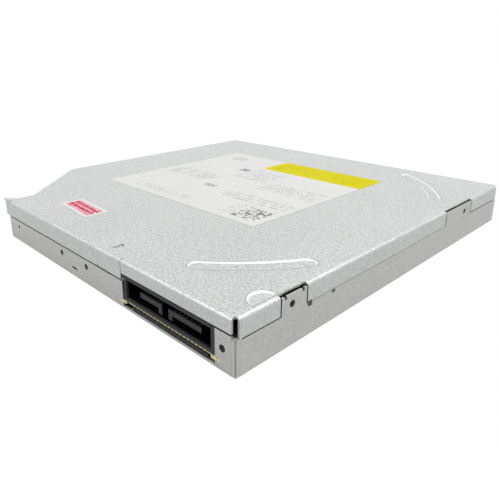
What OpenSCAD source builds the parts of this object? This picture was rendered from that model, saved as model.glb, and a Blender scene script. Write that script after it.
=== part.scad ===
// Slim internal DVD writer for a notebook computer: folded steel case, sliding tray on
// telescopic rails, floating traverse unit with spindle and optical pickup.
// Front (tray side) is -Y, rear (connector side) is +Y, +Z is up.

/* [Case] */
// Overall width of the case
case_w = 128; // [127:0.5:130]
// Overall depth of the case without a bezel
case_d = 126.1; // [126:0.1:129]
// Overall height of the case
case_h = 12.7; // [12.7:0.1:14]
// Thickness of the steel sheet
sheet = 0.5; // [0.4:0.05:0.6]
// Outer radius of the folds
bend_r = 0.9; // [0.7:0.1:1.1]
// Width of the full-height part of the case, from the connector side to the step
deep_w = 103; // [101:0.5:104]
// Depth of the square ear behind the cut corner
ear_d = 8.2; // [6:0.2:10]
// Length of the right side, from the front to the cut corner
wing_side = 91.3; // [88:0.1:93]
// Height of the thin wing above the base
wing_z = 5.2; // [4.8:0.1:5.3]
// Height where the cover's side flanges end
flange_z = 8.4; // [8:0.1:8.8]
// Height where the cover's rear flange ends
rear_flange_z = 7.7; // [7.6:0.1:8]
// Depth of the pressed ribs in the cover
rib_depth = 0.3; // [0.2:0.05:0.35]

/* [Connector] */
// Width of the rear cut-out for the connector
port_w = 31.5; // [31.5:0.1:33]
// Distance from the case's left side to the cut-out
port_inset = 5.5; // [5:0.1:6]
// Height of the bottom of the cut-out
port_z = 1.2; // [1:0.1:1.4]
// Height of the top of the cut-out
port_top = 9.2; // [9.1:0.05:9.4]
// Height of the rear board's top face
board_z = 2.7; // [2.6:0.05:2.8]

/* [Tray] */
// Diameter of the disc recess
recess_d = 121.5; // [121:0.1:122]
// Height of the recess floor
recess_z = 7.9; // [7.8:0.05:8]
// Thickness of the tray floor
tray_floor = 2.1; // [1.9:0.05:2.2]
// Height of the tray rim
rim_z = 11.3; // [10.8:0.1:11.6]
// Height of the tray's underside
tray_base = 1.7; // [1.6:0.05:1.8]

/* [Rails] */
// Thickness of a slide rail
rail_t = 0.8; // [0.6:0.05:0.9]
// Width of a slide rail
rail_w = 4.1; // [3.9:0.05:4.2]
// Length of a slide rail
rail_len = 88; // [80:1:89]
// Running clearance of the rails
rail_gap = 0.1; // [0.08:0.01:0.14]

/* [Traverse unit] */
// Radius of the turntable
table_r = 14.6; // [13:0.1:15]
// Height of the disc seat on the turntable
seat_z = 9; // [8.8:0.1:9.2]
// Radius of the centring hub
hub_r = 7.4; // [7.2:0.05:7.45]
// Radius of the main guide rod
rod_r = 1; // [0.8:0.05:1.1]
// Distance of each guide rod from the pickup's path
rod_y = 12; // [11.8:0.1:12.2]
// Innermost radius of the objective lens
lens_in = 24; // [23.8:0.1:26]
// Radius of the lead screw over its thread
screw_r = 0.9; // [0.7:0.05:0.95]

/* [Mounting holes] */
// Radius of the tapped mounting holes
tap_r = 0.8; // [0.7:0.05:0.85]
// Radius of the drawn collar round a mounting hole
collar_r = 1.4; // [1.3:0.05:1.5]
// Length of the drawn collar
collar_len = 1.2; // [1:0.05:1.3]

/* [Labels] */
// Width of the white label
label_w = 71.5; // [60:0.5:74]
// Depth of the white label
label_d = 66; // [50:1:68]
// Thickness of a label
label_t = 0.1; // [0.06:0.01:0.12]

/* [Hidden] */
$fn = 48;
eps = 0.01;

half_w = case_w / 2;
half_d = case_d / 2;
gap = 0.1;                              // seam between a flange and the wall beside it
step_x = -half_w + deep_w;              // right edge of the full-height part
corner_y = -half_d + wing_side;         // front end of the cut corner
ear_y = half_d - ear_d;                 // rear end of the cut corner
deck_z = case_h - sheet;                // underside of the cover's plate
spindle_y = -half_d + recess_d / 2 + 1.8;
inner_x = half_w - 2 * sheet - gap;     // inner face of the set-in side wall
outline = [[-half_w, -half_d], [half_w, -half_d], [half_w, corner_y],
           [step_x, ear_y], [step_x, half_d], [-half_w, half_d]];
relief = 0.8;                           // slit where two folds meet at a corner
flare = 2.6;                            // the ear's corner spreads by this much at the rear

port_x = -half_w + port_inset;
port_end = port_x + port_w;
tab_rear = [half_d - 20.45, half_d - 12.65];               // the wall's raised tabs, along Y
tab_front = [-half_d + 22.65, -half_d + 40.05];
hole_z = 9.95;
hole_rear_y = half_d - 15.85;
hole_front_y = -half_d + 27.35;
rear_hole_z = 5.4;
rear_hole_x = [port_x - 2, port_end + 16.8, port_end + 30.1];

guide_z = [wing_z + sheet, 8.05];       // rail guides, bottom and top
rail_z = 6.3;                           // underside of the slide rails
floor_under = recess_z - tray_floor;    // underside of the tray floor
tray_left = -half_w + 4.3;              // tray's edges at the rails
tray_right = half_w - 3.9;
groove_d = 2.1;                         // depth of the tray's rail grooves
guide_w = 2.9;
front_wall = 2.05;
rim_r = recess_d / 2 + 1.25;

mech_angle = 225;                       // direction of the pickup's travel
frame_z = 4.5;                          // underside of the traverse frame
frame_t = 0.8;
rod_z = 3.3;
rod_x = [14.5, 65.8];                   // ends of the guide rods along the pickup's path
bar_x = 63.5;                           // the frame's outer cross bar
screw_y = 17.5;
screw_z = 3.8;
motor_x = [8, 17];
motor_hole_r = 14.2;
damper_at = [[-14, 18.5], [-14, -18], [44, -18.3]];
window_y = 14.8;
shield_t = 0.3;
board_t = 0.8;
main_board_z = 3.2;
pivot_at = [step_x - 10, 8];                     // pivot of the latch lever
post_at = [pivot_at[0], 22];                     // post that the latch catches

module zbox(x, y, z) {
    translate([x[0], y[0], z[0]]) cube([x[1] - x[0], y[1] - y[0], z[1] - z[0]]);
}
module mech() { translate([0, spindle_y, 0]) rotate([0, 0, mech_angle]) children(); }
module slab(z0, z1) { translate([0, 0, z0]) linear_extrude(z1 - z0) children(); }
module along_x(x0, x1, y, z, r, fn = 32) {
    translate([x0, y, z]) rotate([0, 90, 0]) cylinder(h = x1 - x0, r = r, $fn = fn);
}
module along_y(x, y0, y1, z, r, fn = 32) {
    translate([x, y0, z]) rotate([-90, 0, 0]) cylinder(h = y1 - y0, r = r, $fn = fn);
}

// Folded edge seen end on: the plate comes in at the top from +X and the leg hangs at x = 0.
module fold_profile(drop) {
    translate([0, -bend_r]) difference() {
        translate([bend_r, 0]) circle(bend_r);
        translate([bend_r, 0]) circle(bend_r - sheet);
        translate([bend_r, -bend_r - 1]) square(2 * bend_r + 2);
        translate([-1, -bend_r - 1]) square([2 * bend_r + 2, bend_r + 1]);
    }
    translate([0, -drop]) square([sheet, drop - bend_r]);
    translate([bend_r - eps, -sheet]) square([0.1, sheet]);
}
// A folded flange of a given length along its edge, from the edge's start point.
module flange(start, angle, len, z_end) {
    translate([start[0], start[1], case_h]) rotate([0, 0, angle]) rotate([90, 0, 0])
        mirror([0, 0, 1]) linear_extrude(len) fold_profile(case_h - z_end);
}

// Arc-shaped outline of a pressed rib, round the disc's centre.
module rib_arc(r, w, a0, a1) {
    translate([0, spindle_y]) {
        intersection() {
            difference() {
                circle(r + w / 2, $fn = 120);
                circle(r - w / 2, $fn = 120);
            }
            polygon([[0, 0], 2 * r * [cos(a0), sin(a0)],
                     2 * r * [cos((a0 + a1) / 2), sin((a0 + a1) / 2)],
                     2 * r * [cos(a1), sin(a1)]]);
        }
        for (a = [a0, a1]) rotate(a) translate([r, 0]) circle(w / 2);
    }
}
module cover_ribs(grow = 0) {
    offset(delta = grow) {
        rib_arc(67.4, 4.6, 128, 149);
        rib_arc(64.4, 4, 211, 237);
        translate([-20.6, 57.5]) square([1.4, 3]);
    }
}
moon_x = -inner_x + 0.3;
module half_moon() {
    intersection() {
        translate([moon_x + 0.3, 53.6]) circle(3.6);
        translate([moon_x, 50]) square([6, 8]);
    }
}

module top_cover() {
    inset = bend_r;
    diag = [step_x - half_w, ear_y - corner_y];
    diag_len = norm(diag);
    color("gainsboro") {
        difference() {
            union() {
                slab(deck_z, case_h) offset(delta = -inset) polygon(outline);
                slab(deck_z, case_h) translate([-half_w + inset, -half_d])
                    square([case_w - 2 * inset, 2 * inset]);
                slab(deck_z, case_h) polygon([[step_x - 2, half_d - flare], [step_x, half_d - flare],
                    [step_x + flare, half_d - 0.4], [step_x + flare, half_d], [step_x - 2, half_d]]);
                slab(deck_z - rib_depth, deck_z + eps) cover_ribs(0.15);
                slab(deck_z - rib_depth, deck_z + eps) half_moon();
            }
            slab(case_h - rib_depth, case_h + 1) cover_ribs();
            slab(case_h - rib_depth, case_h + 1) half_moon();
            zbox([-half_w, -half_w + inset + gap], tab_rear + [-0.2, 0.2], [deck_z - 1, case_h + 1]);
        }
        flange([-half_w, tab_rear[1] + 0.4], 0, half_d - bend_r - tab_rear[1] - 0.6, flange_z);
        flange([-half_w, tab_front[1] + 0.4], 0, tab_rear[0] - tab_front[1] - 0.8, flange_z - 0.2);
        flange([-half_w, -half_d + 1.5], 0, tab_front[0] + half_d - 1.9, flange_z);
        rear_flange(-half_w + bend_r + 0.2, port_end + 0.2, port_top + gap);
        rear_flange(port_end + 0.4, step_x + flare - 1, rear_flange_z);
        flange([half_w, corner_y - relief], 180, wing_side - 1 - relief, wing_z);
        flange([step_x, ear_y] - relief * diag / diag_len, atan2(diag[0], -diag[1]),
            diag_len - 2 * relief, wing_z);
        flange([step_x, half_d - flare - relief / 2], 180, ear_d - flare - 1.5 * relief, wing_z + 1);
        zbox([half_w - 3.4, half_w - sheet + eps], [-half_d + 1, corner_y - 1.5],
             [wing_z, wing_z + sheet]);
    }
}
module rear_flange(x0, x1, z_end) { flange([x0, half_d], -90, x1 - x0, z_end); }

// Wall folded up from the bottom plate, from the edge's start point.
module wall(start, angle, len, z_end) {
    translate([start[0], start[1], 0]) rotate([0, 0, angle]) rotate([90, 0, 0])
        mirror([0, 0, 1]) linear_extrude(len) mirror([0, 1]) fold_profile(z_end);
}
// The part of a side wall that is set in behind a flange, with the joggle at its foot.
module set_in(start, angle, len, z_start) {
    translate([start[0], start[1], 0]) rotate([0, 0, angle]) {
        zbox([0, 2 * sheet + gap], [0, len], [z_start - sheet, z_start]);
        zbox([sheet + gap, 2 * sheet + gap], [0, len], [z_start - sheet, deck_z - 0.25]);
    }
}
joggle_z = 8.1;                         // top of the left wall's outer band
rear_band_z = rear_flange_z - 0.4;      // top of the rear wall's outer band
step_wall_z = wing_z - 0.2;             // top of the wall under the wing
tab_h = case_h - 0.6;
rear_end_z = port_top - 0.3;            // rear wall's height beside the connector

module bottom_case() {
    in = bend_r;
    color("silver") difference() {
        union() {
            zbox([-half_w + in, step_x - in], [-half_d, half_d - in], [0, sheet]);
            wall([-half_w, -half_d + 1], 0, case_d - 2 * in - 0.4, joggle_z);
            wall([-half_w + in + 0.2, half_d], -90, port_x + half_w - in - 0.2, rear_end_z);
            wall([port_x, half_d], -90, port_w, port_z);
            wall([port_end, half_d], -90, step_x - port_end - in, rear_band_z);
            wall([step_x, half_d - in - 0.2], 180, case_d - in - 1.2, step_wall_z);
            for (t = [[-half_d + 1, tab_front[0] - 0.2], [tab_front[1] + 0.2, tab_rear[0] - 0.2],
                      [tab_rear[1] + 0.2, half_d - 2 * in]])
                set_in([-half_w, t[0]], 0, t[1] - t[0], joggle_z);
            set_in([port_end, half_d], -90, step_x - port_end - 2 * in, rear_band_z);
            set_in([step_x, half_d - 2 * in], 180, ear_d - 2 * in - 0.5, step_wall_z);
            for (t = [tab_front, tab_rear])
                zbox([-half_w, -half_w + sheet], t, [joggle_z - 1, tab_h]);
            for (y = [hole_front_y, hole_rear_y]) along_x(-half_w + sheet / 2,
                -half_w + sheet + collar_len, y, hole_z, collar_r);
            along_y(rear_hole_x[0], half_d - sheet - collar_len, half_d - sheet / 2,
                rear_hole_z, collar_r);
        }
        for (y = [hole_front_y, hole_rear_y])
            along_x(-half_w - 1, -half_w + sheet + collar_len + 1, y, hole_z, tap_r);
        for (x = rear_hole_x)
            along_y(x, half_d - sheet - collar_len - 1, half_d + 1, rear_hole_z, tap_r);
        along_y(31.8, half_d - 3, half_d + 1, rear_hole_z, tap_r * 0.7);
        zbox([-5, -2.3], [half_d - 3, half_d + 1], [2.7, 3.2]);
        for (p = screw_at) translate([p[0], p[1], -1]) cylinder(h = 2, r = screw_head_r + 0.05);
        for (y = [43.4, 48.9]) zbox([-half_w - 1, -half_w + 1], [y, y + 0.7], [tab_h - 0.7, tab_h + 1]);
    }
}
screw_head_r = 1.4;
screw_at = [[-half_w + 2.4, half_d - 4.5], [-half_w + 2.4, -40]];
module cover_screws() {
    // Small screws through the floor, into the left rail guide and beside the step.
    color("silver") for (p = screw_at) translate([p[0], p[1], 0.05]) difference() {
        union() {
            cylinder(h = guide_z[0] - 0.05, r = 0.9);
            cylinder(h = sheet, r = screw_head_r);
        }
        translate([0, 0, -1]) cylinder(h = 1.4, r = 0.6, $fn = 6);
    }
}

label_at = [-33.3, -39.8];
band_d = 14.3;
band_w = 42.8;
module rating_label() {
    color("white") difference() {
        zbox([label_at[0], label_at[0] + label_w], [label_at[1], label_at[1] + label_d],
            [case_h, case_h + label_t]);
        zbox([label_at[0] - 1, label_at[0] + band_w], [label_at[1] - 1, label_at[1] + band_d],
            [case_h - 1, case_h + 1]);
    }
}
module label_band() {
    color("gold") zbox([label_at[0], label_at[0] + band_w], [label_at[1], label_at[1] + band_d],
        [case_h, case_h + label_t]);
}
seal_at = [step_x - 25, half_d - 13.25];
seal_size = [17.8, 7.4];
module seal_sticker() {
    color("pink") translate([seal_at[0], seal_at[1], case_h]) rotate([0, 0, -4])
        zbox([-seal_size[0], seal_size[0]] / 2, [-seal_size[1], seal_size[1]] / 2, [0, label_t]);
}

// The plug that the notebook's socket takes, with its two tongues.
shroud_x = [port_x + 0.3, port_end - 0.4];
plug_z = [port_z + 0.7, port_top - 0.3];
plug_y = [half_d - 8, half_d - 0.2];
tongue_z = [5.4, 6.6];
tongues = [[port_x + 4.5, port_x + 14.9], [port_x + 17.2, port_x + 25.1]];
module sata_connector() {
    color("dimgray") difference() {
        union() {
            zbox(shroud_x, plug_y, [board_z, plug_z[1]]);
            zbox([shroud_x[0] + 2, shroud_x[1] - 3], plug_y, [plug_z[0] - 0.5, board_z - board_t]);
        }
        difference() {
            zbox(shroud_x + [1, -1], [half_d - 6.3, half_d + 1], [board_z + 0.8, plug_z[1] - 0.8]);
            for (t = tongues) zbox(t, [half_d - 7, half_d - 0.6], tongue_z);
            zbox([tongues[0][1] - 1.2, tongues[0][1]], [half_d - 7, half_d - 0.6],
                [tongue_z[0] - 1.2, tongue_z[1]]);
            zbox([tongues[1][0], tongues[1][0] + 1.2], [half_d - 7, half_d - 0.6],
                [tongue_z[0] - 1.2, tongue_z[1]]);
        }
    }
}
pin_pitch = 1.27;
module contact_row(x0, n) {
    for (i = [0:n - 1]) zbox([x0 + i * pin_pitch, x0 + i * pin_pitch + 0.7],
        [half_d - 6.2, half_d - 1], [tongue_z[1], tongue_z[1] + 0.12]);
}
module signal_contacts() { color("gold") contact_row(tongues[1][0] + 0.15, 6); }
module power_contacts() { color("gold") contact_row(tongues[0][0] + 0.6, 7); }
board_y = [half_d - 9.8, half_d - 0.7];
module rear_board() {
    color("darkkhaki") difference() {
        zbox([port_x - 1.4, port_end + 1.4], board_y, [board_z - board_t, board_z]);
        for (x = [port_x - 2, port_end - 0.2])
            zbox([x, x + 2.2], [half_d - 1.6, half_d], [0, port_top]);
    }
}
cable_x = [port_x + 6.5, port_end - 6];
module rear_cable_socket() {
    color("ivory") zbox(cable_x, [board_y[0] + 0.2, plug_y[0] - 0.2], [board_z, board_z + 1]);
}
cable_y = [4, board_y[0] - 0.5];
cable_t = 0.15;
module flat_cable() {
    // Lower run on the case's floor, a loop, and the short upper run.
    color("wheat") {
        zbox(cable_x + [1, -1], cable_y + [0, -0.4], [sheet, sheet + cable_t]);
        zbox(cable_x + [1, -1], [cable_y[1] - 0.4, cable_y[1] - 0.4 + cable_t], [sheet, board_z + 0.4]);
        zbox(cable_x + [1, -1], [cable_y[1] - 0.4, board_y[0] + 0.2],
            [board_z + 0.4, board_z + 0.4 + cable_t]);
    }
}
module rail_guide(len) {
    slot = rail_t + 2 * rail_gap;
    difference() {
        zbox([0, guide_w], [0, len], guide_z);
        zbox([sheet, guide_w + 1], [-1, len + 1], [rail_z - rail_gap, rail_z - rail_gap + slot]);
    }
}
guide_y = -half_d + 1;
module left_rail_guide() {
    color("gainsboro") translate([-inner_x, guide_y, 0]) rail_guide(case_d - 3.2);
}
module right_rail_guide() {
    color("gainsboro") translate([half_w - sheet, guide_y, 0]) mirror([1, 0, 0])
        rail_guide(wing_side - 1.5);
}
post_r = 1;
post_top = main_board_z - 0.4;
module latch_post() {
    color("silver") translate([post_at[0], post_at[1], sheet]) {
        cylinder(h = post_top - sheet, r = post_r);
        cylinder(h = 0.4, r = post_r + 0.8);
    }
}
module slide_rail() {
    difference() {
        zbox([0, rail_w], [0, rail_len], [rail_z, rail_z + rail_t]);
        for (y = [6, rail_len - 10]) translate([rail_w / 2 - 0.6, y, 0])
            zbox([0, 1.2], [0, 4], [rail_z - 1, rail_z + 2]);
    }
}
rail_y = guide_y + 1;
module left_slide_rail() {
    color("silver") translate([-inner_x + sheet + 0.3, rail_y, 0]) slide_rail();
}
module right_slide_rail() {
    color("silver") translate([half_w - 2 * sheet - 0.3, rail_y, 0]) mirror([1, 0, 0]) slide_rail();
}

tray_front = -half_d + 0.4;
tray_rear_left = half_d - 15.05;
tray_rear_right = corner_y - 2.5;
skirt_t = 1.5;
skirt_right = step_x - sheet - 0.3;     // outer face of the skirt under the step
notch_at = [port_end + 2.5, board_y[0] - 0.8];
channel_x = [post_at[0] - post_r - 1.6, post_at[0] + post_r + 1.6];
plunger_x = 12;
plunger_z = 4.3;
module tray_outline() {
    difference() {
        intersection() {
            translate([tray_left, tray_front]) square([tray_right - tray_left, case_d]);
            union() {
                translate([0, spindle_y]) circle(rim_r, $fn = 160);
                translate([tray_left, tray_front]) square([-tray_left, tray_rear_left - tray_front]);
                translate([0, tray_front]) square([tray_right, tray_rear_right - tray_front]);
            }
        }
        translate([-half_w, notch_at[1]]) square([notch_at[0] + half_w, 20]);
    }
}
module window() {
    circle(motor_hole_r + 0.8);
    translate([0, -window_y]) square([bar_x - 1, 2 * window_y]);
}
button_x = [20, 25];
button_z = [3.4, 5.2];
led_x = 15;
pin_hole_x = 29;
module tray() {
    color("dimgray") difference() {
        union() {
            slab(floor_under, rim_z) tray_outline();
            zbox([tray_left, skirt_right], [tray_front, tray_front + front_wall],
                [tray_base, floor_under + eps]);
            zbox([tray_left, tray_left + skirt_t], [tray_front, tray_rear_left],
                [tray_base, floor_under + eps]);
            zbox([skirt_right - skirt_t, skirt_right], [tray_front, tray_rear_right],
                [tray_base, floor_under + eps]);
            zbox([tray_left, channel_x[0] - 0.3], [tray_rear_left - skirt_t, tray_rear_left],
                [tray_base, floor_under + eps]);
            for (p = damper_at) mech() translate([p[0], p[1], frame_z - 0.4])
                cylinder(h = floor_under - frame_z + 0.4 + eps, r = 1.5);
            translate([pivot_at[0], pivot_at[1], main_board_z + 0.6])
                cylinder(h = floor_under - main_board_z - 0.6 + eps, r = 2);
        }
        slab(recess_z, case_h) translate([0, spindle_y]) circle(recess_d / 2, $fn = 160);
        slab(floor_under - 1, recess_z + 1) translate([0, spindle_y]) rotate(mech_angle) window();
        for (x = [tray_left - 1, tray_right - groove_d]) zbox([x, x + groove_d + 1],
            [rail_y - 0.4, half_d], [rail_z - rail_gap, rail_z + rail_t + rail_gap]);
        for (p = damper_at) mech() translate([p[0], p[1], 0]) cylinder(h = floor_under + 0.8, r = 0.8);
        translate([pivot_at[0], pivot_at[1], 0]) cylinder(h = floor_under + 0.5, r = 1);
        zbox(button_x + [-0.3, 0.3], [-half_d, -half_d + 4], button_z + [-0.3, 0.3]);
        zbox([plunger_x - 2.2, plunger_x + 2.2], [tray_rear_left - skirt_t - 1, tray_rear_left + 1],
            [plunger_z - 1.3, floor_under]);
        along_y(led_x, -half_d, -half_d + 4, 4.3, 0.8);
        along_y(pin_hole_x, -half_d, -half_d + 4, 4.3, 0.7);
        translate([0, spindle_y, rim_z - 0.6]) cylinder(h = 3, r1 = recess_d / 2, r2 = recess_d / 2 + 3);
    }
}
module tray_shield() {
    color("silver") slab(tray_base - shield_t, tray_base) difference() {
        translate([tray_left + 0.2, tray_front + 0.2])
            square([skirt_right - tray_left - 0.4, tray_rear_left - tray_front - 0.4]);
        translate([channel_x[0], post_at[1] - 3]) square([channel_x[1] - channel_x[0], 60]);
        for (p = tray_screw_at) translate(p) circle(0.8);
        for (x = [-40, -10]) translate([x, 36]) circle(3);
        translate([0, spindle_y]) circle(5);
    }
}
screw_inset = 1.2;
tray_screw_at = [for (x = [tray_left + screw_inset, skirt_right - screw_inset])
    for (y = [tray_front + 12.65, tray_rear_left - 33]) [x, y]];
module tray_screws() {
    color("dimgray") for (p = tray_screw_at) translate([p[0], p[1], tray_base - shield_t - 0.3])
        cylinder(h = 0.3, r = 1.1);
    color("dimgray") for (p = tray_screw_at) translate([p[0], p[1], tray_base - shield_t])
        cylinder(h = shield_t, r = 0.8);
}
cover_z = recess_z - 1;                 // top of the traverse cover's plate
slot_y = 7;
cover_end = bar_x - 1.4;
module traverse_cover() {
    color("silver") mech() difference() {
        union() {
            slab(cover_z - 0.3, cover_z) intersection() {
                window();
                translate([0, -window_y + 0.4]) square([cover_end, 2 * window_y - 0.8]);
            }
            for (y = [-window_y + 0.4, window_y - 0.7]) zbox([18, cover_end], [y, y + 0.3],
                [frame_z + frame_t, cover_z - 0.3 + eps]);
        }
        cylinder(h = case_h, r = motor_hole_r + 0.15);
        zbox([0, cover_end - 1], [-slot_y, slot_y], [0, case_h]);
    }
}
frame_y = [-15.6, 19];
module traverse_frame() {
    color("lightgray") mech() difference() {
        slab(frame_z, frame_z + frame_t) {
            translate([-17.5, -14]) square([bar_x + 19.5, 33]);
            translate([-17.5, frame_y[0]]) square([bar_x + 17.5, 33]);
            for (p = damper_at) translate(p) circle(3.8);
        }
        cylinder(h = case_h, r = motor_hole_r + 0.2);
        zbox([10, bar_x], [-14.3, 14.3], [0, case_h]);
        zbox([motor_x[0] - 0.5, bar_x - 1.5], [13, screw_y + 1.6], [0, case_h]);
        for (p = damper_at) translate([p[0], p[1], 0]) cylinder(h = case_h, r = 2.9);
        for (p = [[-12, 0], [-3, 15.9]]) translate([p[0], p[1], 0]) cylinder(h = case_h, r = 1);
    }
}
module damper_grommets() {
    color("black") mech() for (p = damper_at) translate([p[0], p[1], frame_z - 0.4]) difference() {
        cylinder(h = floor_under - frame_z + 0.4 - 0.1, r = 2.9);
        translate([0, 0, -1]) cylinder(h = case_h, r = 1.5);
    }
}
module damper_screws() {
    color("silver") mech() for (p = damper_at) translate([p[0], p[1], 0]) difference() {
        union() {
            translate([0, 0, frame_z - 1]) cylinder(h = 0.6, r = 2.4);
            translate([0, 0, frame_z - 0.5]) cylinder(h = floor_under - frame_z + 1, r = 0.8);
        }
        translate([0, 0, frame_z - 2]) cylinder(h = 1.4, r = 0.6, $fn = 6);
    }
}
shaft_r = 1;
shaft_fit = 0.03;
base_z = 2.2;
module spindle_motor_base() {
    color("lightgray") mech() difference() {
        union() {
            slab(base_z, base_z + 0.5) difference() {
                circle(motor_hole_r + 1.8);
                translate([rod_x[0] + 0.4, -30]) square([30, 60]);
            }
            for (a = [90, 200, 270]) rotate([0, 0, a]) zbox([motor_hole_r + 0.6, motor_hole_r + 1.6],
                [-2, 2], [base_z, frame_z]);
            translate([0, 0, base_z]) cylinder(h = 2.9, r = 2.6);
        }
        translate([0, 0, base_z + 0.3]) cylinder(h = 10, r = shaft_r + shaft_fit);
    }
}
stator_r = 12.6;
module stator() {
    color("peru") translate([0, spindle_y, 0]) slab(3.6, 5.4) difference() {
        union() {
            circle(5);
            for (i = [0:8]) rotate(i * 40) {
                translate([0, -1.3]) square([stator_r - 1, 2.6]);
                intersection() {
                    difference() {
                        circle(stator_r);
                        circle(stator_r - 1.2);
                    }
                    translate([0, -3.4]) square([20, 6.8]);
                }
            }
        }
        circle(2.6);
    }
}
rotor_t = 0.6;
table_t = 0.9;
module turntable() {
    color("gray") translate([0, spindle_y, 0]) {
        difference() {
            union() {
                translate([0, 0, 3.2]) cylinder(h = seat_z - 0.3 - table_t - 3.2 + eps, r = 13.9);
                translate([0, 0, seat_z - 0.3 - table_t]) cylinder(h = table_t, r = table_r);
                translate([0, 0, seat_z - 0.4]) cylinder(h = 1.9, r = hub_r);
                translate([0, 0, seat_z + 1.5 - eps]) cylinder(h = 0.9, r1 = hub_r, r2 = hub_r - 1.6);
            }
            translate([0, 0, 0]) cylinder(h = 6.2, r = 13.9 - rotor_t);
            for (i = [0:2]) rotate([0, 0, i * 120 + 30]) difference() {
                zbox([hub_r - 3, hub_r + 1], [-1.7, 1.7], [seat_z, case_h]);
                zbox([hub_r - 3.1, hub_r + 0.1], [-1.2, 1.2], [seat_z - 1, seat_z + 1.9]);
            }
            translate([0, 0, seat_z + 1.9]) cylinder(h = 3, r = 3);
        }
        translate([0, 0, base_z + 0.5]) cylinder(h = 4.2, r = shaft_r);
    }
}
module turntable_mat() {
    color("black") translate([0, spindle_y, seat_z - 0.3]) difference() {
        cylinder(h = 0.3, r = table_r - 0.3);
        translate([0, 0, -1]) cylinder(h = 3, r = table_r - 3.4);
    }
}
module main_guide_rod() { color("silver") mech() along_x(rod_x[0] + 1, bar_x, rod_y, rod_z, rod_r); }
module sub_guide_rod() { color("silver") mech() along_x(rod_x[0] + 1, bar_x, -rod_y, rod_z, rod_r); }
module rod_holders() {
    // Clips under the frame that hold the ends of both rods and of the screw.
    color("lightgray") mech() {
        for (y = [-rod_y, rod_y]) {
            zbox([bar_x, bar_x + 1.2], [y - 1.9, y + 1.9], [rod_z - 1.4, frame_z]);
            zbox([rod_x[0], rod_x[0] + 1], [y - 1.5, y + 1.5], [rod_z - 1.4, frame_z]);
        }
        difference() {
            zbox([bar_x - 1.4, bar_x - 0.4], [screw_y - 1.7, screw_y + 1.4], [screw_z - 1.5, frame_z]);
            along_x(bar_x - 2, bar_x, screw_y, screw_z, 0.53);
        }
    }
}

motor_half = 1.95;                      // half the thickness of the flat stepper motor
module sled_motor() {
    color("silver") mech() {
        difference() {
            intersection() {
                along_x(motor_x[0], motor_x[1], screw_y, screw_z, 2.6);
                zbox(motor_x, [screw_y - 3, screw_y + 3], [screw_z - motor_half, screw_z + motor_half]);
            }
            along_x(motor_x[1] - 2, motor_x[1] + 1, screw_y, screw_z, 0.53);
        }
        zbox([motor_x[0] - 2.5, motor_x[0]], [screw_y - 1.2, screw_y + 1.2], [frame_z - 0.7, frame_z]);
    }
}
screw_x = [motor_x[1] + 0.3, bar_x - 1.7];
screw_pitch = 3;
module lead_screw() {
    color("silver") mech() {
        along_x(motor_x[1] - 1.5, bar_x - 0.5, screw_y, screw_z, 0.5);
        along_x(screw_x[0], screw_x[1], screw_y, screw_z, screw_r - 0.2);
        for (x = [screw_x[0]:screw_pitch / 2:screw_x[1] - 1])
            along_x(x, x + 0.7, screw_y, screw_z, screw_r);
    }
}

board_x = [tray_left + skirt_t + 0.3, skirt_right - skirt_t - 0.3];
main_y = [tray_rear_left - 18, tray_rear_left - skirt_t - 0.3];
module main_board() {
    color("seagreen") difference() {
        zbox([board_x[0], board_x[1]], main_y, [main_board_z, main_board_z + board_t]);
        for (x = [board_x[0] + 3, board_x[1] - 3]) translate([x, main_y[1] - 3, 0])
            cylinder(h = case_h, r = 1);
        zbox([plunger_x - 2.3, plunger_x + 2.3], [main_y[1] - 6, main_y[1] + 1], [0, case_h]);
    }
}
module board_chips() {
    // Controller, motor driver, memory and buffer, on top of the main board.
    chips = [[-42, 10, 10, 10], [-16, 7, 8, 8], [-2, 6, 6, 9], [24, 7, 7, 5]];
    color("black") for (c = chips) translate([c[0], main_y[0] + c[1], main_board_z + board_t])
        zbox([-c[2] / 2, c[2] / 2], [-c[3] / 2, c[3] / 2], [0, 1]);
}
module tray_cable_socket() {
    color("ivory") zbox(cable_x, [main_y[0] + 0.5, main_y[0] + 4],
        [main_board_z + board_t, main_board_z + board_t + 0.9]);
}
front_x = [8, skirt_right - skirt_t - 0.3];
front_y = [tray_front + front_wall + 0.4, -44];
front_z = 2.4;
module front_board() {
    color("seagreen") zbox(front_x, front_y, [front_z, front_z + board_t]);
}
button_rear = front_y[0] + 0.4;
module eject_switch() {
    color("black") {
        zbox([button_x[0] + 0.3, button_x[1] - 0.3], [button_rear + 1.2, button_rear + 4.2],
            [front_z + board_t, front_z + board_t + 1.6]);
        zbox([button_x[0] + 1.7, button_x[1] - 1.7], [button_rear + 0.7, button_rear + 1.2],
            [front_z + board_t + 0.3, front_z + board_t + 1.3]);
    }
}
module activity_led() {
    color("lime") {
        zbox([led_x - 1, led_x + 1], [front_y[0] + 0.6, front_y[0] + 2.6],
            [front_z + board_t, front_z + board_t + 1.8]);
        along_y(led_x, tray_front + 0.2, front_y[0] + 0.6, 4.3, 0.7);
    }
}
solenoid_x = [pivot_at[0] - 8, pivot_at[0] + 4];
solenoid_y = [pivot_at[1] - 44, pivot_at[1] - 16];
module eject_solenoid() {
    color("peru") {
        zbox(solenoid_x, solenoid_y + [0, -8], [2, floor_under]);
        along_y(pivot_at[0] - 2, solenoid_y[1] - 8, solenoid_y[1], 3.6, 1.2);
    }
}
lever_z = [1.95, 2.75];
lever_swing = 10;
post_reach = post_at[1] - pivot_at[1];
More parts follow.
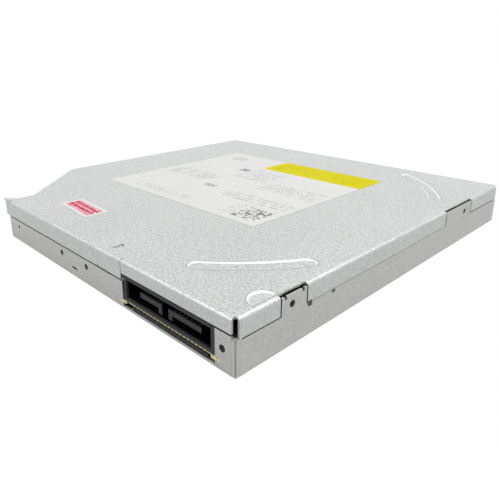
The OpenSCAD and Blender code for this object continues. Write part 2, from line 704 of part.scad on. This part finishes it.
module latch_lever() {
    // Drawn about its pivot, turned clear of the post.
    color("ivory") translate([pivot_at[0], pivot_at[1], 0]) rotate([0, 0, lever_swing])
        difference() {
            slab(lever_z[0], lever_z[1]) {
                circle(2.6);
                translate([-2.6, -8]) square([2.2, 8]);
                translate([-3.4, 0]) square([2, post_reach + 3]);
                translate([-3.4, post_reach + post_r + 0.3]) square([4.4, 1.7]);
            }
            cylinder(h = case_h, r = shaft_r + shaft_fit);
        }
}
module latch_pivot() {
    color("silver") translate([pivot_at[0], pivot_at[1], 0]) {
        translate([0, 0, lever_z[0] - 0.2]) cylinder(h = floor_under + 0.5 - lever_z[0] + 0.2, r = shaft_r);
    }
}
plunger_r = 1;
module plunger_housing() {
    color("dimgray") difference() {
        zbox([plunger_x - 1.9, plunger_x + 1.9], [main_y[1] - 5.5, main_y[1] + 1.8 + 5],
            [plunger_z - 1, floor_under]);
        along_y(plunger_x, main_y[1] - 6, half_d, plunger_z + 0.2, plunger_r + 0.05);
    }
}
module eject_plunger() {
    color("white") {
        along_y(plunger_x, main_y[1] - 4.5, half_d - 2.3, plunger_z + 0.2, plunger_r);
    }
}
module eject_button() {
    color("dimgray") {
        zbox(button_x, [tray_front - 0.1, button_rear], button_z);
    }
}

pick_x = [lens_in - 8, lens_in + 5];
pick_z = [2.1, 5.9];
rod_fit = 0.05;
module pickup_body() {
    color("darkgray") mech() difference() {
        union() {
            zbox(pick_x, [-9.5, 9.5], pick_z);
            zbox(pick_x + [2, -2], [rod_y - 3, rod_y + 1.9], [rod_z - 1.4, rod_z + 1.7]);
            zbox([lens_in - 3, lens_in + 3], [-rod_y - 1.9, -rod_y + 3], [rod_z - 1.4, rod_z + 1.7]);
            zbox([lens_in - 2, lens_in + 2], [rod_y + 1.8, screw_y - screw_r - 0.3],
                [rod_z - 0.3, rod_z + 0.5]);
        }
        along_x(0, bar_x, rod_y, rod_z, rod_r + rod_fit);
        along_x(0, bar_x, -rod_y, rod_z, rod_r + rod_fit);
        zbox([lens_in - 4.5, lens_in + 4.2], [-6, 6], [pick_z[1] - 1.9, pick_z[1] + 1]);
        translate([lens_in, 0, 0]) cylinder(h = case_h, r = 2);
    }
}
module laser_diodes() {
    color("goldenrod") mech() for (y = [-6.2, 3.2])
        zbox([pick_x[1], pick_x[1] + 1.2], [y, y + 3], [3, 5.4]);
}
module actuator_magnets() {
    color("dimgray") mech() for (x = [lens_in - 4.5, lens_in + 3.2])
        zbox([x, x + 1], [-4, 4], [pick_z[1] - 1.9, pick_z[1] + 0.2]);
}
lens_z = 6.6;
module lens_holder() {
    color("black") mech() difference() {
        union() {
            zbox([lens_in - 2.9, lens_in + 2.6], [-4.4, 4.4], [pick_z[1] - 1.2, lens_z - 0.3]);
            translate([lens_in, 0, lens_z - 0.4]) cylinder(h = 0.4, r = 2.5);
        }
        translate([lens_in, 0, 0]) cylinder(h = case_h, r = 1.7);
    }
}
module objective_lens() {
    color("lightblue") mech() translate([lens_in, 0, lens_z - 1.1]) intersection() {
        cylinder(h = 1.4, r = 1.7);
        translate([0, 0, -2]) sphere(r = 3.4);
    }
}

top_cover();
bottom_case();
cover_screws();
rating_label();
label_band();
seal_sticker();
sata_connector();
signal_contacts();
power_contacts();
rear_board();
rear_cable_socket();
flat_cable();
left_rail_guide();
right_rail_guide();
latch_post();
left_slide_rail();
right_slide_rail();
tray();
tray_shield();
tray_screws();
traverse_cover();
traverse_frame();
damper_grommets();
damper_screws();
spindle_motor_base();
stator();
main_guide_rod();
sub_guide_rod();
rod_holders();
sled_motor();
lead_screw();
main_board();
board_chips();
tray_cable_socket();
front_board();
eject_switch();
activity_led();
eject_solenoid();
latch_lever();
latch_pivot();
plunger_housing();
eject_plunger();
eject_button();
turntable();
turntable_mat();
pickup_body();
laser_diodes();
actuator_magnets();
lens_holder();
objective_lens();
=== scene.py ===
"""Looks of a slim internal DVD writer: galvanised steel case, printed labels, plug and tray."""
import math

import bmesh
import bpy
from mathutils import Matrix, Vector


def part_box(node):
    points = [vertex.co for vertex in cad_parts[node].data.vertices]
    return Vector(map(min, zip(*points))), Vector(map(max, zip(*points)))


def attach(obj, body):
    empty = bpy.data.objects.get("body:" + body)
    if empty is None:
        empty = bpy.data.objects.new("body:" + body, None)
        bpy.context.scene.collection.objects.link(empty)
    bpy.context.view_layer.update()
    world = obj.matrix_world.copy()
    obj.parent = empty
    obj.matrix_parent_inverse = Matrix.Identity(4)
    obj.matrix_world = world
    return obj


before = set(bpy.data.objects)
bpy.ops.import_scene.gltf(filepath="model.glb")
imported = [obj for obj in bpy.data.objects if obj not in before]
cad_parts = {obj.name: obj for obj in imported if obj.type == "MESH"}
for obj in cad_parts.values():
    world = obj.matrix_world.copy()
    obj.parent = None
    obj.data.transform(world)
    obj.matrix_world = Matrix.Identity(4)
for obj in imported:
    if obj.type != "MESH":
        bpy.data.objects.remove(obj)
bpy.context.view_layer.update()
MM = 0.001
scene = bpy.context.scene
scene.view_settings.view_transform = "Standard"

# Camera: the photograph's wide close view from behind the plug's corner
CAMERA_AT = Vector((-0.118455, 0.116862, 0.057978))
CAMERA_RIGHT = Vector((-0.690361, -0.723424, -0.007705))
CAMERA_FORWARD = Vector((0.689914, -0.655102, -0.307993))
cam_data = bpy.data.cameras.new("camera")
cam_data.sensor_width = 36
cam_data.lens = 35.78
cam_data.shift_x = 0.0486
cam_data.shift_y = -0.0821
cam_data.clip_start = 0.005
camera = bpy.data.objects.new("camera", cam_data)
scene.collection.objects.link(camera)
up = CAMERA_RIGHT.cross(CAMERA_FORWARD)
turn = Matrix((CAMERA_RIGHT, up, -CAMERA_FORWARD)).transposed()
camera.matrix_world = Matrix.Translation(CAMERA_AT) @ turn.to_4x4()
scene.camera = camera


REAR_FACE_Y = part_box("bottom_case")[1].y / MM
LEFT_FACE_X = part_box("bottom_case")[0].x / MM
TOP_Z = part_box("top_cover")[1].z / MM


class Shader:
    """A small helper that builds one procedural material in object coordinates, in millimetres."""

    def __init__(self, name, color=(0.8, 0.8, 0.8), metallic=0.0, roughness=0.5, specular=0.5):
        self.mat = bpy.data.materials.new(name)
        self.mat.use_nodes = True
        self.tree = self.mat.node_tree
        self.bsdf = self.tree.nodes["Principled BSDF"]
        self.bsdf.inputs["Base Color"].default_value = (*color, 1)
        self.bsdf.inputs["Metallic"].default_value = metallic
        self.bsdf.inputs["Roughness"].default_value = roughness
        self.bsdf.inputs["Specular IOR Level"].default_value = specular
        coords = self.node("ShaderNodeTexCoord").outputs["Object"]
        scale = self.node("ShaderNodeVectorMath", operation="SCALE")
        scale.inputs["Scale"].default_value = 1 / MM
        self.link(coords, scale.inputs[0])
        self.mm = scale.outputs[0]
        split = self.node("ShaderNodeSeparateXYZ")
        self.link(self.mm, split.inputs[0])
        self.x, self.y, self.z = split.outputs

    def node(self, kind, **settings):
        made = self.tree.nodes.new(kind)
        for key, value in settings.items():
            setattr(made, key, value)
        return made

    def link(self, source, target):
        self.tree.links.new(source, target)

    def math(self, operation, *values):
        made = self.node("ShaderNodeMath", operation=operation)
        for slot, value in zip(made.inputs, values):
            if isinstance(value, (int, float)):
                slot.default_value = value
            else:
                self.link(value, slot)
        return made.outputs[0]

    def between(self, value, low, high):
        above = self.math("GREATER_THAN", value, low)
        below = self.math("LESS_THAN", value, high)
        return self.math("MULTIPLY", above, below)

    def rect(self, x0, x1, y0, y1, x=None, y=None):
        across = self.between(self.x if x is None else x, x0, x1)
        along = self.between(self.y if y is None else y, y0, y1)
        return self.math("MULTIPLY", across, along)

    def noise(self, scale, detail=3.0, stretch=(1, 1, 1)):
        mapping = self.node("ShaderNodeMapping")
        mapping.inputs["Scale"].default_value = stretch
        self.link(self.mm, mapping.inputs[0])
        made = self.node("ShaderNodeTexNoise")
        made.inputs["Scale"].default_value = scale
        made.inputs["Detail"].default_value = detail
        self.link(mapping.outputs[0], made.inputs["Vector"])
        return made.outputs["Fac"]

    def cells(self, scale):
        made = self.node("ShaderNodeTexVoronoi")
        made.inputs["Scale"].default_value = scale
        self.link(self.mm, made.inputs["Vector"])
        grey = self.node("ShaderNodeRGBToBW")
        self.link(made.outputs["Color"], grey.inputs[0])
        return grey.outputs[0]

    def spread(self, value, low, high):
        made = self.node("ShaderNodeMapRange")
        made.inputs["From Min"].default_value = 0.25
        made.inputs["From Max"].default_value = 0.75
        made.inputs["To Min"].default_value = low
        made.inputs["To Max"].default_value = high
        self.link(value, made.inputs["Value"])
        return made.outputs["Result"]

    def mix(self, factor, first, second):
        made = self.node("ShaderNodeMix", data_type="RGBA")
        for slot, value in ((made.inputs[0], factor), (made.inputs[6], first), (made.inputs[7], second)):
            if isinstance(value, tuple):
                slot.default_value = (*value, 1)
            elif isinstance(value, (int, float)):
                slot.default_value = value
            else:
                self.link(value, slot)
        return made.outputs[2]

    def normal_z(self):
        """Height part of the face's own direction, so folded walls can be painted darker and calmer than the plate, as
        painted shade.
        """
        coords = self.node("ShaderNodeTexCoord")
        split = self.node("ShaderNodeSeparateXYZ")
        self.link(coords.outputs["Normal"], split.inputs[0])
        return split.outputs[2]

    def color(self, value):
        self.link(value, self.bsdf.inputs["Base Color"])

    def rough(self, value):
        self.link(value, self.bsdf.inputs["Roughness"])

    def bump(self, height, strength, distance):
        made = self.node("ShaderNodeBump")
        made.inputs["Strength"].default_value = strength
        made.inputs["Distance"].default_value = distance
        self.link(height, made.inputs["Height"])
        self.link(made.outputs[0], self.bsdf.inputs["Normal"])


def galvanised(name, dark, light, roughness=(0.34, 0.48)):
    """Zinc-coated sheet: fine bright speckle, faint spangle and a few soft smudges, with painted shade that makes the
    folded walls darker than the flat plate.
    """
    s = Shader(name, metallic=1.0)
    speckle = s.math("MULTIPLY", s.spread(s.noise(1.9, 1), 0.0, 1.0), 0.8)
    spangle = s.math("MULTIPLY", s.cells(1.3), 0.12)
    smudge = s.math("MULTIPLY", s.spread(s.noise(0.05, 2), 0.0, 1.0), 0.08)
    blotch = s.math("ADD", s.math("ADD", speckle, spangle), smudge)
    # Painted shade: faces that stand upright get a darker, calmer mix than the flat plate.
    folded = s.math("LESS_THAN", s.math("ABSOLUTE", s.normal_z()), 0.6)
    wall_shade_level = s.math("ADD", s.math("MULTIPLY", blotch, 0.35), 0.2)
    shaded_walls = s.mix(wall_shade_level, dark, light)
    flat = s.mix(s.math("ADD", s.math("MULTIPLY", blotch, 0.8), 0.1), dark, light)
    s.color(s.mix(folded, flat, shaded_walls))
    s.rough(s.spread(s.noise(0.6, 4), *roughness))
    grain = s.math("ADD", s.noise(2.4, 2), s.math("MULTIPLY", s.noise(5.0, 1), 0.5))
    s.bump(grain, 0.6, 0.00009)
    return s.mat


def brushed(name, color, roughness, stretch=(1, 18, 1)):
    s = Shader(name, color, metallic=1.0)
    streak = s.noise(0.8, 3, stretch)
    darker = tuple(0.82 * c for c in color)
    s.color(s.mix(s.spread(streak, 0, 1), darker, color))
    s.rough(s.spread(streak, roughness - 0.05, roughness + 0.08))
    return s.mat


def moulded(name, color, roughness=0.5, grain=4.0, metallic=0.0):
    """Moulded plastic or cast metal with a fine spark-eroded grain."""
    s = Shader(name, color, metallic=metallic)
    lighter = tuple(min(1, 1.2 * c + 0.01) for c in color)
    s.color(s.mix(s.spread(s.noise(0.3, 3), 0, 1), color, lighter))
    s.rough(s.spread(s.noise(1.5, 2), roughness - 0.05, roughness + 0.08))
    s.bump(s.noise(grain, 2), 0.25, 0.00004)
    return s.mat


def pressed_slope(name):
    """Painted highlight where the sheet turns down into a recess, with a thin painted grey shade line at its lip."""
    s = Shader(name, metallic=1.0, roughness=0.35)
    # Painted shade: a thin dark grey line along the recess's top lip; painted highlight: the slope is lighter than the
    # plate.
    lip_shade_line = s.math("GREATER_THAN", s.z, TOP_Z - 0.008)
    sheet = s.mix(s.spread(s.noise(1.9, 1), 0, 1), (0.78, 0.79, 0.78), (0.95, 0.96, 0.95))
    s.color(s.mix(lip_shade_line, sheet, (0.3, 0.31, 0.3)))
    return s.mat


def plug_plastic(name):
    """Near-black painted shade inside the plug's cavity, and dark grey on the faces that meet the light."""
    s = Shader(name, roughness=0.55, specular=0.06)
    front = s.math("GREATER_THAN", s.y, REAR_FACE_Y - 0.75)
    grey = s.mix(s.spread(s.noise(1.2, 2), 0, 1), (0.05, 0.053, 0.06), (0.07, 0.074, 0.082))
    # Painted shade: everything behind the plug's front faces is near-black.
    s.color(s.mix(front, (0.003, 0.003, 0.004), grey))
    s.bump(s.noise(4.0, 2), 0.2, 0.00003)
    return s.mat


def board(name):
    """Solder mask with copper traces."""
    s = Shader(name, roughness=0.4)
    traces = s.math("GREATER_THAN", s.noise(0.5, 1, (1, 5, 1)), 0.56)
    mask = s.mix(traces, (0.02, 0.16, 0.06), (0.05, 0.26, 0.11))
    s.color(mask)
    s.bump(traces, 0.3, 0.00003)
    return s.mat


def gold_board(name):
    s = Shader(name, roughness=0.38, specular=0.6)
    pads = s.between(s.math("MODULO", s.math("ADD", s.x, 200.0), 1.27), 0.2, 0.85)
    s.color(s.mix(pads, (0.66, 0.6, 0.28), (0.88, 0.82, 0.5)))
    s.bump(pads, 0.4, 0.00005)
    return s.mat


INK = (0.1, 0.1, 0.11)
PALE_INK = (0.4, 0.41, 0.43)


def print_lines(s, x0, x1, y0, y1, pitch, fill, breaks):
    """Rows of broken bars that stand where small print would be."""
    rows = s.math("LESS_THAN", s.math("MODULO", s.math("ADD", s.y, 200.0), pitch), pitch * fill)
    chop = s.math("GREATER_THAN", s.noise(breaks, 1, (1, 0.3, 1)), 0.47)
    return s.math("MULTIPLY", s.math("MULTIPLY", rows, chop), s.rect(x0, x1, y0, y1))


def label_paper(name):
    """White paper with rows of bars, two dark blots and a block of cells that codes nothing."""
    s = Shader(name, roughness=0.42, specular=0.35)
    paper = s.mix(s.spread(s.noise(0.2, 2), 0, 1), (0.89, 0.89, 0.87), (0.92, 0.92, 0.905))
    blocks = [
        print_lines(s, -31, -4, 4.5, 12, 2.1, 0.42, 0.9),
        print_lines(s, -31, -8, -12, -2, 2.1, 0.4, 0.7),
        print_lines(s, 0, 28, 19.5, 23, 1.4, 0.4, 0.8),
        print_lines(s, 12, 35, -6, 3, 1.9, 0.45, 0.6),
        print_lines(s, -6, 10, -22, -8, 2.4, 0.4, 0.7),
        print_lines(s, -31, -16, 12.5, 23.8, 2.0, 0.3, 1.2),
    ]
    total = blocks[0]
    for block in blocks[1:]:
        total = s.math("MAXIMUM", total, block)
    color = s.mix(s.math("MULTIPLY", total, 0.6), paper, PALE_INK)
    code_area = s.rect(-30.5, -21.5, 14.2, 23.2)
    code = s.math("MULTIPLY", code_area, s.math("GREATER_THAN", s.cells(1.5), 0.52))
    color = s.mix(code_area, color, paper)
    color = s.mix(s.math("MULTIPLY", code, 0.85), color, INK)
    for x0, x1, y0, y1, depth in ((3.5, 9, 4.5, 7, 0.55), (11, 15, -20, -17, 0.9),
                                  (25, 32, -34, -29, 0.35)):
        blot = s.math("MULTIPLY", s.rect(x0, x1, y0, y1), s.math("GREATER_THAN", s.noise(1.1, 1), 0.44))
        color = s.mix(s.math("MULTIPLY", blot, depth), color, INK)
    s.color(color)
    return s.mat


def yellow_paper(name):
    s = Shader(name, roughness=0.6, specular=0.03)
    paper = s.mix(s.spread(s.noise(0.2, 2), 0, 1), (0.86, 0.77, 0.012), (0.9, 0.81, 0.02))
    field = s.rect(-18, -2, -38.3, -27)
    color = s.mix(s.math("MULTIPLY", field, 0.2), paper, (0.95, 0.88, 0.06))
    lines = print_lines(s, -31, 7, -38, -27.5, 2.1, 0.32, 0.7)
    s.color(s.mix(s.math("MULTIPLY", lines, 0.45), color, (0.5, 0.4, 0.01)))
    return s.mat


def seal_paper(name):
    """A red field with pale bars inside a white border, turned with the sticker."""
    s = Shader(name, roughness=0.6, specular=0.03)
    mapping = s.node("ShaderNodeMapping", vector_type="TEXTURE")
    mapping.inputs["Location"].default_value = (14, 49.8, 0)
    mapping.inputs["Rotation"].default_value = (0, 0, math.radians(-4))
    s.link(s.mm, mapping.inputs[0])
    split = s.node("ShaderNodeSeparateXYZ")
    s.link(mapping.outputs[0], split.inputs[0])
    x, y, _ = split.outputs
    field = s.rect(-7.6, 7.6, -2.5, 2.5, x, y)
    rows = s.between(s.math("MODULO", s.math("ADD", y, 20.0), 1.9), 0.35, 1.55)
    marks = s.math("MULTIPLY", rows, s.math("GREATER_THAN", s.noise(1.4, 1), 0.46))
    red = s.mix(s.math("MULTIPLY", marks, 0.9), (0.8, 0.05, 0.1), (0.97, 0.75, 0.77))
    s.color(s.mix(field, (0.97, 0.95, 0.95), red))
    return s.mat


def glass(name):
    s = Shader(name, (0.55, 0.65, 0.9), roughness=0.06, specular=0.8)
    s.bsdf.inputs["Transmission Weight"].default_value = 0.7
    s.color(s.mix(s.spread(s.noise(0.4, 1), 0, 1), (0.5, 0.6, 0.9), (0.65, 0.6, 0.9)))
    return s.mat


cover_steel = galvanised("cover_steel", (0.38, 0.395, 0.385), (0.86, 0.88, 0.865))
# Painted shade: the case's copy of the galvanised steel is darker than the cover's, for its side walls.
case_steel = galvanised("case_steel", (0.4, 0.405, 0.385), (0.72, 0.725, 0.7))
highlit_pressed_steel = pressed_slope("highlit_pressed_steel")
plug_black_cavity_shade = plug_plastic("plug_black_cavity_shade")
bright_steel = brushed("bright_steel", (0.66, 0.66, 0.67), 0.25)
black_plastic = moulded("black_plastic", (0.028, 0.028, 0.03), 0.42)
tray_plastic = moulded("tray_plastic", (0.05, 0.05, 0.055), 0.5)
light_plastic = moulded("light_plastic", (0.76, 0.73, 0.64), 0.45)
contact_gold = brushed("contact_gold", (0.9, 0.78, 0.42), 0.25)
shaded_gold = brushed("shaded_gold", (0.3, 0.24, 0.11), 0.4)
copper = brushed("copper", (0.72, 0.36, 0.18), 0.35)
brass = brushed("brass", (0.72, 0.58, 0.28), 0.3)
cast_metal = moulded("cast_metal", (0.5, 0.5, 0.52), 0.4, metallic=1.0)
rubber = moulded("black_rubber", (0.02, 0.02, 0.02), 0.75)
led_plastic = moulded("led_plastic", (0.35, 0.6, 0.25), 0.2)
green_board = board("circuit_board")
rear_board = gold_board("rear_board_edge")

NODE_LOOKS = {
    cover_steel: ["top_cover"],
    case_steel: ["bottom_case", "tray_shield", "traverse_cover", "left_rail_guide",
                 "right_rail_guide"],
    bright_steel: ["cover_screws", "latch_post", "left_slide_rail", "right_slide_rail",
                   "tray_screws", "damper_screws", "main_guide_rod", "sub_guide_rod",
                   "lead_screw", "latch_pivot", "sled_motor", "spindle_motor_base"],
    label_paper("label_paper"): ["rating_label"],
    yellow_paper("yellow_paper"): ["label_band"],
    seal_paper("red_paper"): ["seal_sticker"],
    plug_black_cavity_shade: ["sata_connector"],
    black_plastic: ["eject_switch", "lens_holder", "plunger_housing",
                    "board_chips"],
    tray_plastic: ["tray", "eject_button"],
    light_plastic: ["rear_cable_socket", "tray_cable_socket", "flat_cable", "latch_lever",
                    "eject_plunger"],
    shaded_gold: ["signal_contacts", "power_contacts"],
    copper: ["stator", "eject_solenoid"],
    brass: ["laser_diodes"],
    cast_metal: ["traverse_frame", "rod_holders", "pickup_body", "turntable",
                 "actuator_magnets"],
    rubber: ["damper_grommets", "turntable_mat"],
    led_plastic: ["activity_led"],
    green_board: ["main_board", "front_board"],
    rear_board: ["rear_board"],
    glass("lens_glass"): ["objective_lens"],
}
for material, names in NODE_LOOKS.items():
    for name in names:
        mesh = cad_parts[name].data
        mesh.materials.clear()
        mesh.materials.append(material)


def new_piece(name, mesh, material, body):
    piece = bpy.data.objects.new(name, mesh)
    scene.collection.objects.link(piece)
    mesh.materials.append(material)
    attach(piece, body)
    return piece


def rounded_boxes(name, boxes, bevel, material, body):
    """Boxes in millimetres, given by two corners each, with bevelled edges, as one piece."""
    mesh = bpy.data.meshes.new(name)
    bm = bmesh.new()
    for low, high in boxes:
        low, high = Vector(low) * MM, Vector(high) * MM
        size = high - low
        made = bmesh.ops.create_cube(bm, size=1, matrix=Matrix.Translation((low + high) / 2)
                                     @ Matrix.Diagonal((*size, 1)))
        edges = list({e for v in made["verts"] for e in v.link_edges})
        bmesh.ops.bevel(bm, geom=edges, offset=bevel * MM, segments=2, affect="EDGES")
    bm.to_mesh(mesh)
    bm.free()
    return new_piece(name, mesh, material, body)


# Solder tails of the plug along the rear board's edge
board_low, board_high = (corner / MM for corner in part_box("rear_board"))
TAIL_PITCH = 1.27
TAIL_W = 0.55
first_tail = board_low.x + 4.5
tails = [((x, board_high.y + 0.02, board_high.z - 0.55), (x + TAIL_W, board_high.y + 0.3, board_high.z - 0.1))
         for x in (first_tail + TAIL_PITCH * i for i in range(20))]
rounded_boxes("solder_tails", tails, 0.05, contact_gold, "case")


# Ends of the rear board in their side notches, and the folded corner below the plug's end
NOTCH_REACH = 2.6
board_front = REAR_FACE_Y + 0.04
board_ends = [((board_low.x, REAR_FACE_Y - 0.4, board_low.z), (board_low.x + NOTCH_REACH, board_front, board_high.z)),
              ((board_high.x - NOTCH_REACH, REAR_FACE_Y - 0.4, board_low.z), (board_high.x, board_front, board_high.z))]
rounded_boxes("board_ends", board_ends, 0.05, rear_board, "case")
CORNER = 2.0
RIGHT_FACE_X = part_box("bottom_case")[1].x / MM
corner_y = (REAR_FACE_Y - CORNER, REAR_FACE_Y - 0.03)
corner_posts = [((LEFT_FACE_X + 0.03, corner_y[0], 0.25), (LEFT_FACE_X + CORNER, corner_y[1], 8.7)),
                ((RIGHT_FACE_X - CORNER, corner_y[0], 0.25), (RIGHT_FACE_X - 0.03, corner_y[1], 8.7))]
rounded_boxes("case_corners", corner_posts, 0.3, case_steel, "case")

# Black strips as painted shade in the relief notches at the foot of the cover's flanges and at the rear ear
notch_shade_strips = [((LEFT_FACE_X - 0.03, y0, z0), (LEFT_FACE_X + 0.2, y1, z1))
           for y0, y1, z0, z1 in ((40.7, 42.1, 7.2, 8.5), (32.4, 33.6, 7.3, 8.0))]
notch_shade_strips.append(((-21.3, REAR_FACE_Y - 0.2, 7.4), (-16.2, REAR_FACE_Y + 0.03, 7.75)))
notch_shade_strips.append(((-16.5, REAR_FACE_Y - 0.2, 7.4), (-16.2, REAR_FACE_Y + 0.03, 8.3)))
rounded_boxes("flange_notch_shades", notch_shade_strips, 0.03, black_plastic, "case")


def slot_outline(radius, width, start, end, inset, steps=24):
    """A slot with round ends bent along an arc about the disc's centre, inset from its edge."""
    centre = Vector((0, -0.5))
    half = width / 2 - inset
    spans = [(radius + half, start, end, None), (half, end, end + 180, end),
             (radius - half, end, start, None), (half, start + 180, start + 360, start)]
    points = []
    for reach, first, last, hub in spans:
        origin = centre
        if hub is not None:
            origin = centre + radius * Vector((math.cos(math.radians(hub)), math.sin(math.radians(hub))))
        for i in range(steps):
            angle = math.radians(first + (last - first) * i / steps)
            points.append(origin + reach * Vector((math.cos(angle), math.sin(angle))))
    return points


def moon_outline(inset, steps=30):
    """The part of a circle beside the cover's left fold."""
    centre = Vector((LEFT_FACE_X + 1.7, REAR_FACE_Y - 9.45))
    flat = LEFT_FACE_X + 1.4 + inset
    reach = 3.6 - inset
    tip = math.acos((flat - centre.x) / reach)
    return [centre + reach * Vector((math.cos(a), math.sin(a)))
            for a in (-tip + 2 * tip * i / steps for i in range(steps + 1))]


def pressed_edge(name, outline):
    """The soft slope between the plate and a pressed recess, as rings along its outline."""
    profile = [(-0.13, 0.0), (0.0, 0.0), (0.05, -0.012), (0.2, -0.1), (0.42, -0.23), (0.6, -0.285), (0.66, -0.3)]
    mesh = bpy.data.meshes.new(name)
    bm = bmesh.new()
    rings = [[bm.verts.new(Vector((p.x, p.y, TOP_Z - LABEL_LIFT + dz)) * MM) for p in outline(inset)]
             for inset, dz in profile]
    for outer, inner in zip(rings, rings[1:]):
        for i in range(len(outer)):
            j = (i + 1) % len(outer)
            bm.faces.new((outer[i], outer[j], inner[j], inner[i])).smooth = True
    bmesh.ops.recalc_face_normals(bm, faces=bm.faces)
    if sum(f.normal.z for f in bm.faces) < 0:
        bmesh.ops.reverse_faces(bm, faces=bm.faces)
    bm.to_mesh(mesh)
    bm.free()
    return new_piece(name, mesh, highlit_pressed_steel, "case")


LABEL_LIFT = -0.004
pressed_edge("rear_rib_slope", lambda inset: slot_outline(67.4, 4.6, 128, 149, inset))
pressed_edge("front_rib_slope", lambda inset: slot_outline(64.4, 4, 211, 237, inset))
pressed_edge("half_moon_slope", moon_outline)


def stage_object(name, mesh):
    made = bpy.data.objects.new(name, mesh)
    scene.collection.objects.link(made)
    return made


FLOOR_Z = -0.00005


def pale_floor():
    """A white floor that keeps a soft shadow and shows white to the camera and in reflections."""
    mesh = bpy.data.meshes.new("floor")
    half = 3.0
    mesh.from_pydata([(x * half, y * half, FLOOR_Z) for x, y in ((-1, -1), (1, -1), (1, 1), (-1, 1))],
                     [], [(0, 1, 2, 3)])
    s = Shader("floor", (0.93, 0.93, 0.93), roughness=0.9)
    glow = s.node("ShaderNodeEmission")
    glow.inputs["Color"].default_value = (1, 1, 1, 1)
    glow.inputs["Strength"].default_value = 1.03
    path = s.node("ShaderNodeLightPath")
    camera_share = s.math("MULTIPLY", path.outputs["Is Camera Ray"], 0.96)
    mirror_share = s.math("MULTIPLY", path.outputs["Is Glossy Ray"], 0.3)
    clear_share = s.math("MULTIPLY", path.outputs["Is Transmission Ray"], 0.9)
    share = s.math("MAXIMUM", s.math("MAXIMUM", camera_share, mirror_share), clear_share)
    blend = s.node("ShaderNodeMixShader")
    s.link(share, blend.inputs[0])
    s.link(s.bsdf.outputs[0], blend.inputs[1])
    s.link(glow.outputs[0], blend.inputs[2])
    s.link(blend.outputs[0], s.tree.nodes["Material Output"].inputs["Surface"])
    mesh.materials.append(s.mat)
    stage_object("floor", mesh)


def world_light(strength):
    world = bpy.data.worlds.new("world")
    scene.world = world
    world.use_nodes = True
    tree = world.node_tree
    backdrop = tree.nodes["Background"]
    backdrop.inputs["Color"].default_value = (1, 1, 1, 1)
    path = tree.nodes.new("ShaderNodeLightPath")
    level = tree.nodes.new("ShaderNodeMapRange")
    seen = tree.nodes.new("ShaderNodeMath")
    seen.operation = "MAXIMUM"
    tree.links.new(path.outputs["Is Camera Ray"], seen.inputs[0])
    tree.links.new(path.outputs["Is Glossy Ray"], seen.inputs[1])
    tree.links.new(seen.outputs[0], level.inputs["Value"])
    level.inputs["To Min"].default_value = strength
    level.inputs["To Max"].default_value = 1.0
    tree.links.new(level.outputs["Result"], backdrop.inputs["Strength"])


def area_light(name, at, target, size, power):
    data = bpy.data.lights.new(name, "AREA")
    data.shape = "RECTANGLE"
    data.size, data.size_y = size
    data.energy = power
    lamp = bpy.data.objects.new(name, data)
    scene.collection.objects.link(lamp)
    aim = (Vector(target) - Vector(at)).to_track_quat("-Z", "Y")
    lamp.matrix_world = Matrix.Translation(at) @ aim.to_matrix().to_4x4()


pale_floor()
world_light(0.46)
area_light("key", (-0.25, -0.15, 0.55), (0, 0, 0), (0.5, 0.5), 1.6)
area_light("rear_fill", (0.25, 0.55, 0.35), (0, 0, 0), (0.5, 0.4), 0.8)
